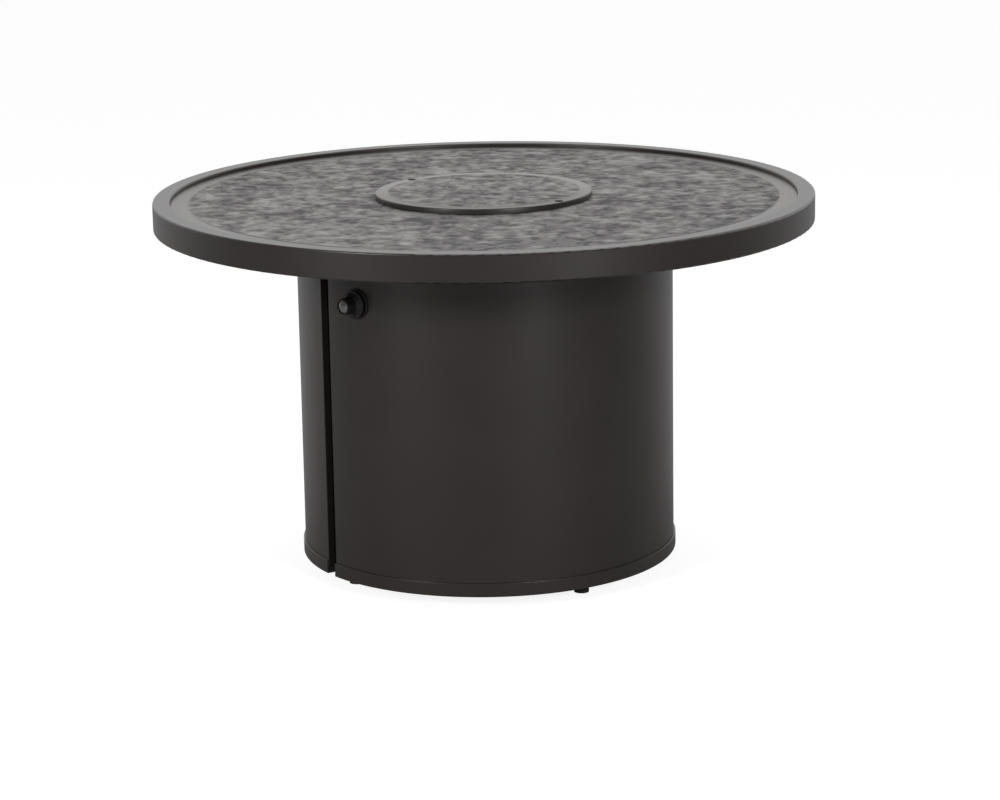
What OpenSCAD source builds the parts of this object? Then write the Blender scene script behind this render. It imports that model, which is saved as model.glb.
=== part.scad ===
// Round fire pit table: a framed round top with a slate-relief panel on a sheet metal drum.
// The drum holds a gas burner below the lift-off cover, the valve, and a bay for a fuel
// cylinder behind a curved hinged door. Millimetres, +Z up. The origin is on the floor, on
// the drum's axis. Angles turn from +X, and the door is centred on -X.

/* [Table top] */
// Diameter over the rim
top_d = 1067; // [980:1:1200]
// Height of the rim's top above the floor
table_h = 611; // [600:1:680]
// Height of the apron, from the rim's top down
apron_h = 44.5; // [40:0.5:52]
// Width of the rim's flat top
rim_w = 28; // [24:0.5:40]
// Metal thickness of the rim section
rim_t = 3; // [2:0.25:3.5]
// Rounding of the rim's outer edges
rim_round = 3; // [1:0.25:3]
// Width of the ledge that carries the panel
ledge_w = 25; // [20:1:32]
// Width of the lip turned in under the apron
lip_w = 18; // [10:1:24]
// Depth of the panel's edge below the rim's top
recess = 6.5; // [5:0.25:8]
// Thickness of the panel at its plain margin
panel_t = 4; // [3:0.25:6]
// Width of the plain margin round the relief field
margin_w = 27.5; // [15:0.5:45]
// Height of the relief field above the margin
field_rise = 0.6; // [0.3:0.1:1]

/* [Burner cover] */
// Diameter of the cover
cover_d = 350; // [330:1:370]
// Height of the cover above the relief field
cover_h = 8.6; // [8:0.1:9.2]
// Sheet thickness of the cover
cover_t = 2; // [1.5:0.25:2.5]
// Width of the cover's plain border
cover_border = 18; // [17:0.5:30]
// Diameter of the finger holes
finger_hole_d = 14; // [12:0.5:16]
// Direction of the first finger hole; the second is opposite
finger_hole_angle = 327; // [0:1:359]

/* [Drum] */
// Diameter of the drum
drum_d = 610; // [590:1:640]
// Sheet thickness of the drum and the door
sheet_t = 2; // [1.5:0.25:3]
// Height of the band round the foot
band_h = 22; // [16:0.5:30]
// Thickness of the band
band_t = 3; // [2:0.25:4]
// Width of the flange at the top of the drum
flange_w = 35; // [30:1:45]
// Thickness of the flange
flange_t = 3; // [2:0.25:4]
// Thickness of the base plate
base_t = 3; // [2:0.25:5]

/* [Door] */
// Half of the angle that the door opening takes up
opening_half = 47.15; // [44:0.05:50]
// Width of the finger channel beside the door
finger_gap = 23; // [18:0.5:26]
// Depth of the finger channel behind the drum's face
channel_depth = 16; // [14:0.5:20]
// Width of the slit at the hinge side
hinge_gap = 6; // [4:0.5:8]
// Drop of the door's top below the apron
door_drop = 7; // [4:0.5:12]
// Depth of the door's turned-in edges
door_return = 9; // [6:0.5:10]
// Length of a hinge
hinge_len = 60; // [50:1:80]
// Diameter of the hinge pins
hinge_pin_d = 4; // [3:0.25:4.5]

/* [Feet] */
// Height of the drum's bottom edge above the floor
foot_h = 21; // [19:0.5:30]
// Diameter of a foot pad
pad_d = 24; // [20:0.5:30]
// Distance of the feet's axes inside the drum's face
foot_inset = 45; // [40:1:55]
// Diameter of the feet's threaded stems
foot_stem_d = 10; // [8:0.5:12]

/* [Burner] */
// Depth of the burner pan
pan_depth = 75; // [72:1:80]
// Sheet thickness of the pan and the heat shield
pan_t = 1.2; // [0.8:0.1:1.6]
// Diameter of the burner ring at the middle of its tube
burner_d = 210; // [205:1:214]
// Diameter of the burner ring's tube
burner_tube_d = 19; // [17:0.5:20]
// Number of flame ports
port_count = 24; // [12:1:36]
// Radius of the largest lava rock round the ring
rock_r = 25.5; // [20:0.25:26]

/* [Gas control] */
// Direction of the knob from the drum's axis
knob_angle = 240; // [236:1:250]
// Drop of the knob's axis below the rim's top
knob_drop = 133.5; // [121:0.5:145]
// Diameter of the knob's skirt
knob_d = 44; // [40:0.5:48]
// Length of the knob
knob_len = 26; // [24:0.5:34]
// How far the knob can be pushed in
knob_travel = 3; // [2:0.25:4]
// Diameter of the valve stem
stem_d = 8; // [6:0.25:8.5]
// Thread diameter of the hose fitting
inlet_d = 15.88; // [14:0.02:18]
// Thread length of the hose fitting
inlet_len = 16; // [12:0.5:20]

/* [Cylinder bay] */
// Inner diameter of the ring that locates the cylinder's foot
tank_ring_d = 212; // [206:1:230]
// Height of that ring
tank_ring_h = 25; // [15:1:35]

/* [Hidden] */
$fa = 3;
$fs = 0.6;
// Fragments of a full turn where large thin arcs meet
arc_fn = 720;

// Finishes
bronze = "#3a3532";
slate = "#7c7a78";
dark = "#1e1c1c";
steel = "#a9abad";
zinc = "#8d9094";
brass_tone = "#b5974e";
rubber_tone = "#1b1a1a";
ceramic_tone = "#e4ded2";
lava = "#4a3a36";

// Clearances: welded or glued seats, resting faces, turning pins, clearance holes
weld_gap = 0.1;
rest_gap = 0.1;
pin_clear = 0.05;
bolt_clear = 0.3;
cut_over = 1;

// Heights of the table top
rim_r = top_d / 2;
rim_in_r = rim_r - rim_w;
apron_bottom = table_h - apron_h;
margin_top = table_h - recess;
field_top = margin_top + field_rise;
panel_bottom = margin_top - panel_t;
ledge_bottom = panel_bottom - rim_t;
ledge_in_r = rim_in_r - ledge_w;
panel_gap = 0.5;
panel_r = rim_in_r - panel_gap;
field_r = rim_in_r - margin_w;
inner_edge_round = 2.8;

// Cover and the mouth of the panel
cover_r = cover_d / 2;
cover_overlap = 4;
mouth_r = cover_r - cover_overlap;
cover_top = field_top + cover_h;
cover_under = cover_top - cover_t;
cover_field_rise = 0.4;
cover_round = 2.5;
finger_hole_inset = 3;
finger_hole_r = cover_r - finger_hole_inset - finger_hole_d / 2;
guide_count = 4;
guide_turn = 45;
guide_half = 5;
guide_t = 1.5;
guide_clear = 1;
guide_drop = 17.4;

// Support arms and their fasteners
arm_count = 8;
arm_turn = 22.5;
arm_w = 30;
arm_h = 25;
arm_t = 2;
arm_end_gap = 0.5;
tab_t = 3;
tab_lap = 18;
arm_out_r = ledge_in_r - arm_end_gap;
tab_out_r = rim_in_r - 2 * panel_gap;
tab_bottom = ledge_bottom - rest_gap - tab_t;
screw_r = 2.5;
screw_head_r = 4.5;
screw_head_h = 3;
screw_circle_r = ledge_in_r + ledge_w / 2;
bolt_r = 3;
bolt_head_af = 10;
bolt_head_h = 4;
nut_h = 5;
thread_over = 2;

// Drum
drum_r = drum_d / 2;
shell_in_r = drum_r - sheet_t;
drum_bottom = foot_h;
drum_top = panel_bottom - rest_gap - arm_h;
flange_top = drum_top - weld_gap;
flange_bottom = flange_top - flange_t;
flange_in_r = shell_in_r - flange_w;
bolt_circle_r = shell_in_r - flange_w / 2;
band_r = drum_r + weld_gap + band_t;
band_top = drum_bottom + band_h;
band_round = 1;
base_lift = 3;
base_bottom = drum_bottom + base_lift;
base_top = base_bottom + base_t;
base_edge_gap = 0.2;

// Door opening and jambs, seen from the middle of the door at -X
door_mid = 180;
door_top = apron_bottom - door_drop;
door_gap = 2.5;
opening_top = door_top + door_gap;
latch_shell_a = door_mid + opening_half;
latch_door_a = latch_shell_a - arc_deg(finger_gap, drum_r);
hinge_shell_a = door_mid - opening_half;
hinge_door_a = hinge_shell_a + arc_deg(hinge_gap, drum_r);
hinge_a = (hinge_shell_a + hinge_door_a) / 2;
jamb_t = 2;
jamb_lap = 22;
jamb_cover = 28;
hinge_jamb_cover = 25;
channel_r = drum_r - channel_depth;
jamb_in_r = channel_r - jamb_t;
jamb_bottom = drum_bottom;
jamb_top = flange_bottom - weld_gap;
return_t = 1.5;
return_r = shell_in_r - weld_gap;
strike_t = 1.5;
strike_w = 14;
strike_h = 40;
strike_lift = 90;
strike_in_r = return_r - strike_t;
catch_gap = 0.3;
catch_setback = 6;
catch_a = latch_door_a - arc_deg(return_t + catch_setback + strike_w / 2, drum_r);
catch_zs = [drum_bottom + strike_lift, door_top - strike_lift];

// Hinges
knuckle_wall = 2;
knuckle_r = hinge_pin_d / 2 + knuckle_wall;
knuckle_seat = 0.4;
knuckle_share = 0.3;
knuckle_gap = 0.4;
hinge_r = drum_r + knuckle_seat + knuckle_r;
leaf_t = 1.5;
leaf_w = 28;
leaf_in_r = drum_r + weld_gap;
leaf_out_r = leaf_in_r + leaf_t;
leaf_gap = 1;
leaf_start = knuckle_r + leaf_gap;
hinge_inset = 100;
hinge_zs = [drum_bottom + hinge_inset, door_top - hinge_inset];
pin_head_step = 1.2;
pin_head_r = hinge_pin_d / 2 + pin_head_step;
pin_head_h = 1.5;
rivet_r = 2;
rivet_head_r = 3.6;
rivet_head_h = 1.2;
rivet_clear = 0.2;
rivet_place = leaf_w * 0.65;
rivet_pitch = hinge_len * 0.36;

// Feet
foot_r = drum_r - foot_inset;
foot_angles = [45, 135, 225, 315];
foot_stem_r = foot_stem_d / 2;
pad_h = 10;
pad_taper = 2;
pad_socket = 4;
collar_h = 5.2;
collar_step = 2.5;
collar_af = foot_stem_d + 2 * collar_step;
collar_gap = 0.3;
bush_wall = 3;
bush_r = foot_stem_r + bush_wall;
bush_flange_w = 5;
bush_flange_r = bush_r + bush_flange_w;
bush_flange_t = 3;
bush_rise = 14;
bush_top = base_top + bush_rise;
bush_bottom = pad_h + collar_h + collar_gap;
stem_over = 4;

// Base plate
base_cut_gap = 1;
base_cut_side = 4;
base_cut_r = jamb_in_r - base_cut_gap;
base_cut_half = opening_half + arc_deg(jamb_lap + base_cut_side, drum_r);
tank_ring_t = 2;
tank_ring_r = tank_ring_d / 2;
vent_count = 12;
vent_r = 10;
vent_circle_r = 190;

// Burner pan
pan_mouth_gap = 1;
pan_in_r = mouth_r + pan_mouth_gap;
pan_out_r = pan_in_r + pan_t;
pan_flange_w = 20;
pan_flange_r = pan_in_r + pan_flange_w;
pan_flange_bottom = panel_bottom - pan_t;
pan_floor = panel_bottom - pan_depth;
pan_bottom = pan_floor - pan_t;
stud_count = 8;
stud_turn = 0;
stud_r = 2.5;
stud_circle_r = pan_in_r + pan_flange_w * 0.6;
stud_nut_h = 4;
stud_nut_af = 8;
stud_drop = pan_t + stud_nut_h + thread_over;
arm_in_gap = 8;
arm_in_r = pan_flange_r + arm_in_gap;
drain_count = 6;
drain_r = 3;
drain_circle_r = 40;
drain_turn = 30;

// Burner ring, riser and the pieces of the gas line
burner_r = burner_d / 2;
burner_tube_r = burner_tube_d / 2;
burner_wall = 1.6;
burner_lift = 8;
burner_z = pan_floor + burner_lift + burner_tube_r;
cross_step = 3;
cross_r = burner_tube_r - cross_step;
port_r = 1.5;
port_tilt = 30;
riser_r = 10.7;
riser_bore_r = 4;
riser_nut_af = 30;
riser_nut_h = 8;
riser_top_nut_h = 6;
line_drop = 24.3;
line_z = pan_bottom - line_drop;
elbow_up_r = 15.5;
elbow_side_r = 13;
elbow_base = 15;
elbow_up_bore_r = 7;
elbow_side_bore_r = 6.5;
elbow_reach = 34;
elbow_socket = 12;
riser_rise = 2;
riser_bottom = line_z + riser_rise;
elbow_top = riser_bottom + elbow_socket;
mixer_r = 11;
mixer_wall = 1.5;
mixer_start = elbow_reach - elbow_socket;
mixer_neck_r = 9;
air_hole_r = 4;
air_hole_count = 4;
air_hole_back = 18;
jet_af = 18;
jet_len = 14;
jet_spud_r = 3;
jet_spud = 10;
jet_wall = 1.5;
pipe_r = 4.75;
pipe_bore_r = 3.5;
pipe_nut_af = 16;
pipe_nut_len = 12;

// Valve, in distances from the drum's axis along the knob's direction
knob_z = table_h - knob_drop;
plate_w = 60;
plate_h = 70;
plate_t = 2;
plate_out = sqrt(shell_in_r * shell_in_r - plate_w * plate_w / 4) - weld_gap;
plate_in = plate_out - plate_t;
valve_r = 13;
valve_len = 46;
valve_back = plate_in - valve_len;
valve_boss_r = 7;
valve_boss_len = 8;
stem_r = stem_d / 2;
valve_neck_wall = 2;
valve_neck_r = stem_r + valve_neck_wall;
bezel_d = 48;
bezel_t = 3;
bezel_front = drum_r + bezel_t;
bezel_skirt_over = 0.5;
bezel_skirt = bezel_d * bezel_d / 8 / drum_r + bezel_skirt_over;
bezel_round = 1;
neck_nut_af = 18;
neck_nut_h = 4;
neck_over = 1;
neck_front = bezel_front + neck_nut_h + neck_over;
stem_depth = 30;
stem_back = plate_in - stem_depth;
stem_flat = 0.7;
inlet_back = 24;
inlet_place = plate_in - inlet_back;
inlet_boss_len = 6;
inlet_boss_wall = 2.5;
inlet_boss_r = inlet_d / 2 + inlet_boss_wall;
inlet_top = knob_z - valve_r - inlet_boss_len;
inlet_bottom = inlet_top - inlet_len;
inlet_bore_r = 5;
pipe_start = valve_back - valve_boss_len;
pipe_span = 93.3;
jet_end = pipe_start - pipe_span;
jet_start = jet_end - jet_len;
mixer_end = jet_start - weld_gap;
pipe_lead = 32.9;
pipe_level_in = jet_end + pipe_lead;
pipe_tail = 20;
pipe_drop_at = pipe_start - pipe_tail;
pipe_bend_r = 18;
pipe_slope = atan2(line_z - knob_z, pipe_drop_at - pipe_level_in);

// Knob, from the back of its skirt outwards
knob_gap = 0.5;
knob_back = bezel_front + knob_travel + knob_gap;
knob_r = knob_d / 2;
skirt_t = 3.5;
skirt_round = 1.2;
skirt_step = 3;
flank_r = knob_r - skirt_step;
flank_end = 9;
grip_r = 14.2;
grip_end_r = 12.5;
grip_bevel = 1;
cavity_r = 12;
cavity_h = neck_front - bezel_front + knob_gap;
stem_cover = 8;
stem_end_gap = 1;
stem_front = knob_back + knob_len - stem_cover;
knob_bore_end = knob_len - stem_cover + knob_travel + stem_end_gap;
flute_count = 12;
flute_r = 1.6;
flute_depth = 1;
flute_lift = 1.5;
flute_len = knob_len - grip_bevel - flank_end - 2 * flute_lift;
grip_lean = atan2(grip_r - grip_end_r, knob_len - grip_bevel - flank_end);
cap_r = 10.3;
cap_clear = 0.1;
cap_t = 2.4;
cap_dome_r = 30;

// Spark electrode
electrode_angle = 0;
electrode_gap = 15.5;
electrode_r = burner_r + burner_tube_r + electrode_gap;
insulator_r = 4;
insulator_rise = 28;
insulator_tail = 4;
insulator_top = pan_floor + insulator_rise;
insulator_bottom = pan_bottom - insulator_tail;
insulator_hex_af = 14;
insulator_hex_h = 4;
spark_r = 1.2;
spark_rise = 7;
spark_tail = 2;
spark_top = insulator_top + spark_rise;
spark_bottom = insulator_bottom - spark_tail;
spark_reach = 12;

// Heat shield
shield_gap = 9;
shield_top = pan_bottom - shield_gap;
shield_bottom = shield_top - pan_t;
shield_r = 195;
shield_hole_r = 28;
hanger_count = 4;
hanger_turn = 45;
hanger_r = 5;
hanger_pin_r = 2.5;
hanger_circle_r = 140;
hanger_end = shield_bottom - stud_nut_h - thread_over;

// Lava rocks: one ring outside the burner ring, two rows inside beside the cross tube
rock_ring_r = (burner_r + burner_tube_r + pan_in_r) / 2;
rock_gap = 0.5;
rock_count = floor(180 / asin((rock_r + rock_gap) / rock_ring_r));
rock_h = 42;
inner_rock_r = 25;
inner_rock_ring_r = 60;
inner_rock_turns = [38, 90, 142, 218, 270, 322];
rock_sides = 7;
rock_twist = 0.3;
rock_sink = 0.1;

// Angle in degrees of an arc of the given length on a circle of radius r
function arc_deg(length, r) = length / r * 180 / PI;

// Corner radius of a hexagon or other regular prism across flats af
function hex_r(af) = af / 2 / cos(30);

// Hollow cylinder about the vertical axis between two heights
module tube(r_out, r_in, z0, z1) {
    difference() {
        translate([0, 0, z0]) cylinder(r = r_out, h = z1 - z0);
        translate([0, 0, z0 - cut_over]) cylinder(r = r_in, h = z1 - z0 + 2 * cut_over);
    }
}

// Part of a round wall, from angle a0 to a1
module arc_wall(r_in, r_out, z0, z1, a0, a1) {
    rotate([0, 0, a0])
        rotate_extrude(angle = a1 - a0, $fn = arc_fn)
            translate([r_in, z0])
                square([r_out - r_in, z1 - z0]);
}

// Vertical hexagon prism with an optional round bore
module hex_prism(af, h, bore_r = 0) {
    difference() {
        cylinder(r = hex_r(af), h = h, $fn = 6);
        if (bore_r > 0)
            translate([0, 0, -cut_over])
                cylinder(r = bore_r, h = h + 2 * cut_over);
    }
}

// Puts children on a horizontal line out of the drum's axis: their +Z is the radius
module radial(angle, z) {
    rotate([0, 0, angle]) translate([0, 0, z]) rotate([0, 90, 0]) children();
}

// Repeats children on a circle about the drum's axis
module around(count, turn, r) {
    for (i = [0 : count - 1])
        rotate([0, 0, turn + i * 360 / count]) translate([r, 0, 0]) children();
}

// What a rounding of radius r takes off an outer corner at p; turn picks the corner
module corner_cut(p, r, turn) {
    translate(p)
        rotate(turn)
            translate([-r, -r])
                difference() {
                    square(r + cut_over);
                    circle(r);
                }
}

// Round rod between two points [distance from the axis, height] in the knob's plane
module rod(p, q, r) {
    run = q - p;
    translate([p[0], 0, p[1]])
        rotate([0, atan2(run[0], run[1]), 0])
            cylinder(r = r, h = norm(run));
}

// Table top

module rim_frame() {
    color(bronze)
        difference() {
            rotate_extrude() difference() {
                union() {
                    translate([rim_r - rim_t, apron_bottom]) square([rim_t, apron_h]);
                    translate([rim_in_r, table_h - rim_t]) square([rim_w, rim_t]);
                    translate([rim_in_r, ledge_bottom]) square([rim_t, table_h - ledge_bottom]);
                    translate([ledge_in_r, ledge_bottom]) square([ledge_w + rim_t, rim_t]);
                    translate([rim_r - lip_w, apron_bottom]) square([lip_w, rim_t]);
                }
                corner_cut([rim_r, table_h], min(rim_round, rim_t), 0);
                corner_cut([rim_r, apron_bottom], min(rim_round, rim_t), 270);
                corner_cut([rim_in_r, table_h], min(inner_edge_round, rim_t), 90);
            }
            around(arm_count, arm_turn, screw_circle_r)
                translate([0, 0, ledge_bottom - cut_over])
                    cylinder(r = screw_r + weld_gap, h = rim_t + 2 * cut_over);
        }
}

module slate_panel() {
    color(slate)
        difference() {
            union() {
                translate([0, 0, panel_bottom]) cylinder(r = panel_r, h = panel_t);
                translate([0, 0, panel_bottom]) cylinder(r = field_r, h = panel_t + field_rise);
            }
            translate([0, 0, panel_bottom - cut_over])
                cylinder(r = mouth_r, h = panel_t + field_rise + 2 * cut_over);
        }
}

// One square tube arm along +X, with the tab that reaches under the rim's ledge
module support_arm() {
    arm_len = arm_out_r - arm_in_r;
    difference() {
        union() {
            difference() {
                translate([arm_in_r, -arm_w / 2, drum_top]) cube([arm_len, arm_w, arm_h]);
                translate([arm_in_r - cut_over, arm_t - arm_w / 2, drum_top + arm_t])
                    cube([arm_len + 2 * cut_over, arm_w - 2 * arm_t, arm_h - 2 * arm_t]);
            }
            translate([arm_out_r - tab_lap, -arm_w / 2, tab_bottom])
                cube([tab_out_r - arm_out_r + tab_lap, arm_w, tab_t]);
        }
        translate([bolt_circle_r, 0, drum_top - cut_over])
            cylinder(r = bolt_r + bolt_clear, h = arm_t + 2 * cut_over);
        translate([screw_circle_r, 0, tab_bottom - cut_over])
            cylinder(r = screw_r + bolt_clear, h = tab_t + 2 * cut_over);
    }
}

module support_arms() {
    color(dark) around(arm_count, arm_turn, 0) support_arm();
}

module rim_screws() {
    head_bottom = tab_bottom - weld_gap - screw_head_h;
    color(zinc)
        around(arm_count, arm_turn, screw_circle_r)
            translate([0, 0, head_bottom]) {
                cylinder(r = screw_head_r, h = screw_head_h);
                cylinder(r = screw_r, h = panel_bottom - rest_gap - head_bottom);
            }
}

module frame_bolts() {
    head_bottom = flange_bottom - weld_gap - bolt_head_h;
    thread_end = drum_top + arm_t + weld_gap + nut_h + thread_over;
    color(zinc)
        around(arm_count, arm_turn, bolt_circle_r)
            translate([0, 0, head_bottom]) {
                hex_prism(bolt_head_af, bolt_head_h);
                cylinder(r = bolt_r, h = thread_end - head_bottom);
            }
}

module frame_nuts() {
    color(zinc)
        around(arm_count, arm_turn, bolt_circle_r)
            translate([0, 0, drum_top + arm_t + weld_gap])
                hex_prism(bolt_head_af, nut_h, bolt_r + pin_clear);
}

// Drum

module drum_shell() {
    color(bronze)
        difference() {
            tube(drum_r, shell_in_r, drum_bottom, drum_top);
            arc_wall(shell_in_r - cut_over, drum_r + cut_over, drum_bottom - cut_over, opening_top,
                     hinge_shell_a, latch_shell_a);
            radial(knob_angle, knob_z)
                translate([0, 0, shell_in_r - sheet_t])
                    cylinder(r = valve_neck_r + bolt_clear, h = 3 * sheet_t);
            hinge_rivet_places(-1) rivet_hole();
        }
}

module drum_flange() {
    color(dark)
        difference() {
            tube(shell_in_r - weld_gap, flange_in_r, flange_bottom, flange_top);
            around(arm_count, arm_turn, bolt_circle_r)
                translate([0, 0, flange_bottom - cut_over])
                    cylinder(r = bolt_r + bolt_clear, h = flange_t + 2 * cut_over);
        }
}

// Section of the band: a flat bar with its outer edges rounded
module band_section(a0, a1) {
    rotate([0, 0, a0])
        rotate_extrude(angle = a1 - a0)
            difference() {
                translate([drum_r + weld_gap, drum_bottom]) square([band_t, band_h]);
                corner_cut([band_r, band_top], band_round, 0);
                corner_cut([band_r, drum_bottom], band_round, 270);
            }
}

module base_band() {
    color(bronze) band_section(latch_shell_a, hinge_shell_a + 360);
}

// Part of a round wall between two angles that lie on the given side of edge_a
module side_wall(r_in, r_out, z0, z1, edge_a, a0, a1, side) {
    arc_wall(r_in, r_out, z0, z1, edge_a + min(side * a0, side * a1), edge_a + max(side * a0, side * a1));
}

// Folded jamb strip beside the opening: a floor behind the door's edge, a side wall and a lap
// on the inside of the shell. side is 1 at the latch, -1 at the hinges.
module jamb_strip(edge_a, cover, side) {
    out_r = shell_in_r - weld_gap;
    floor_a = -arc_deg(cover, channel_r);
    wall_a = arc_deg(jamb_t, channel_r);
    lap_a = arc_deg(jamb_lap, drum_r);
    over_a = arc_deg(cut_over, drum_r);
    difference() {
        side_wall(jamb_in_r, out_r, jamb_bottom, jamb_top, edge_a, floor_a, lap_a, side);
        side_wall(channel_r, drum_r, jamb_bottom - cut_over, jamb_top + cut_over,
                  edge_a, floor_a - over_a, 0, side);
        side_wall(jamb_in_r - cut_over, out_r - jamb_t, jamb_bottom - cut_over, jamb_top + cut_over,
                  edge_a, wall_a, lap_a + over_a, side);
    }
}

module latch_jamb() {
    color(dark) jamb_strip(latch_shell_a, finger_gap + jamb_cover, 1);
}

module hinge_jamb() {
    color(dark)
        difference() {
            jamb_strip(hinge_shell_a, hinge_gap + hinge_jamb_cover, -1);
            hinge_rivet_places(-1) rivet_hole();
        }
}

module base_plate() {
    color(dark)
        difference() {
            translate([0, 0, base_bottom]) cylinder(r = shell_in_r - base_edge_gap, h = base_t);
            arc_wall(base_cut_r, drum_r, base_bottom - cut_over, base_top + cut_over,
                     door_mid - base_cut_half, door_mid + base_cut_half);
            around(vent_count, 0, vent_circle_r)
                translate([0, 0, base_bottom - cut_over])
                    cylinder(r = vent_r, h = base_t + 2 * cut_over);
            for (a = foot_angles)
                rotate([0, 0, a])
                    translate([foot_r, 0, base_bottom - cut_over])
                        cylinder(r = bush_r + weld_gap, h = base_t + 2 * cut_over);
        }
}

module tank_ring() {
    color(dark) tube(tank_ring_r + tank_ring_t, tank_ring_r, base_top, base_top + tank_ring_h);
}

// Door

module door_panel() {
    color(bronze)
        difference() {
            arc_wall(shell_in_r, drum_r, drum_bottom, door_top, hinge_door_a, latch_door_a);
            hinge_rivet_places(1) rivet_hole();
        }
}

module door_band() {
    color(bronze) band_section(hinge_door_a, latch_door_a);
}

// Turned-in edges of the door, welded round its back
module door_frame() {
    in_r = return_r - door_return;
    edge_a = arc_deg(return_t, drum_r);
    color(bronze)
        difference() {
            arc_wall(in_r, return_r, drum_bottom, door_top, hinge_door_a, latch_door_a);
            arc_wall(in_r - cut_over, return_r + cut_over, drum_bottom + return_t, door_top - return_t,
                     hinge_door_a + edge_a, latch_door_a - edge_a);
        }
}

module strike_plates() {
    half_a = arc_deg(strike_w / 2, drum_r);
    color(zinc)
        for (z = catch_zs)
            arc_wall(strike_in_r, return_r, z - strike_h / 2, z + strike_h / 2,
                     catch_a - half_a, catch_a + half_a);
}

module magnet_catches() {
    half_a = arc_deg(strike_w / 2, drum_r);
    color(dark)
        for (z = catch_zs)
            arc_wall(channel_r + weld_gap, strike_in_r - catch_gap, z - strike_h / 2, z + strike_h / 2,
                     catch_a - half_a, catch_a + half_a);
}

// Hinges: side is -1 for the leaves on the shell and 1 for those on the door

module hinge_rivet_places(side) {
    for (z = hinge_zs)
        for (i = [-1, 0, 1])
            radial(hinge_a + side * arc_deg(rivet_place, drum_r), z + i * rivet_pitch) children();
}

module rivet_hole() {
    hole_start = shell_in_r - weld_gap - jamb_t - cut_over;
    translate([0, 0, hole_start])
        cylinder(r = rivet_r + rivet_clear, h = leaf_out_r + cut_over - hole_start);
}

// Rivet along +Z through the leaf and the sheets behind it, down to the radius seat_r
module rivet(seat_r) {
    head_seat = leaf_out_r + weld_gap;
    tail_bottom = sqrt(seat_r * seat_r - rivet_head_r * rivet_head_r) - weld_gap - rivet_head_h;
    translate([0, 0, tail_bottom]) {
        cylinder(r = rivet_head_r, h = rivet_head_h);
        cylinder(r = rivet_r, h = head_seat + rivet_head_h - tail_bottom);
    }
    translate([0, 0, head_seat]) cylinder(r = rivet_head_r, h = rivet_head_h);
}

// One leaf with its knuckles at the heights given in spans; gaps leave room for the other's
module hinge_leaf(z, side, spans, gaps) {
    far_a = arc_deg(leaf_w, drum_r);
    near_a = arc_deg(leaf_start, drum_r);
    difference() {
        union() {
            difference() {
                side_wall(leaf_in_r, leaf_out_r, z - hinge_len / 2, z + hinge_len / 2,
                          hinge_a, 0, far_a, side);
                for (g = gaps)
                    side_wall(leaf_in_r - cut_over, leaf_out_r + cut_over, z + g[0], z + g[1],
                              hinge_a, -near_a, near_a, side);
            }
            for (k = spans)
                rotate([0, 0, hinge_a])
                    translate([hinge_r, 0, z + k[0]])
                        cylinder(r = knuckle_r, h = k[1] - k[0]);
        }
        rotate([0, 0, hinge_a])
            translate([hinge_r, 0, z - hinge_len / 2 - cut_over])
                cylinder(r = hinge_pin_d / 2 + pin_clear, h = hinge_len + 2 * cut_over);
        hinge_rivet_places(side) rivet_hole();
    }
}

module hinge_fixed_leaves() {
    end = hinge_len / 2;
    inner = end - hinge_len * knuckle_share;
    color(dark)
        for (z = hinge_zs)
            hinge_leaf(z, -1, [[-end, -inner], [inner, end]], [[-inner, inner]]);
}

module hinge_door_leaves() {
    over = hinge_len / 2 + cut_over;
    inner = hinge_len / 2 - hinge_len * knuckle_share - knuckle_gap;
    color(dark)
        for (z = hinge_zs)
            hinge_leaf(z, 1, [[-inner, inner]], [[-over, -inner], [inner, over]]);
}

module hinge_pins() {
    end = hinge_len / 2 + weld_gap;
    color(zinc)
        for (z = hinge_zs)
            rotate([0, 0, hinge_a])
                translate([hinge_r, 0, z]) {
                    translate([0, 0, -end - pin_head_h])
                        cylinder(r = hinge_pin_d / 2, h = 2 * end + 2 * pin_head_h);
                    translate([0, 0, -end - pin_head_h]) cylinder(r = pin_head_r, h = pin_head_h);
                    translate([0, 0, end]) cylinder(r = pin_head_r, h = pin_head_h);
                }
}

module hinge_rivets() {
    color(zinc) hinge_rivet_places(-1) rivet(shell_in_r - weld_gap - jamb_t);
}

module door_rivets() {
    color(zinc) hinge_rivet_places(1) rivet(shell_in_r);
}

// Feet

module foot_place(i) {
    rotate([0, 0, foot_angles[i]]) translate([foot_r, 0, 0]) children();
}

module foot_bushes() {
    color(zinc)
        for (i = [0 : len(foot_angles) - 1])
            foot_place(i)
                difference() {
                    union() {
                        translate([0, 0, bush_bottom])
                            cylinder(r = bush_r, h = bush_top - bush_bottom);
                        translate([0, 0, base_top + rest_gap])
                            cylinder(r = bush_flange_r, h = bush_flange_t);
                    }
                    translate([0, 0, bush_bottom - cut_over])
                        cylinder(r = foot_stem_r + pin_clear,
                                 h = bush_top - bush_bottom + 2 * cut_over);
                }
}

module leveller_stem(i) {
    color(zinc)
        foot_place(i) {
            translate([0, 0, pad_h - pad_socket])
                cylinder(r = foot_stem_r, h = bush_top + stem_over - pad_h + pad_socket);
            translate([0, 0, pad_h]) hex_prism(collar_af, collar_h);
        }
}

module leveller_pad(i) {
    color(rubber_tone)
        foot_place(i)
            difference() {
                union() {
                    cylinder(r = pad_d / 2, h = pad_h - pad_taper);
                    translate([0, 0, pad_h - pad_taper])
                        cylinder(r1 = pad_d / 2, r2 = pad_d / 2 - pad_taper, h = pad_taper);
                }
                translate([0, 0, pad_h - pad_socket])
                    cylinder(r = foot_stem_r + pin_clear, h = pad_socket + cut_over);
            }
}

// Burner

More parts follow.
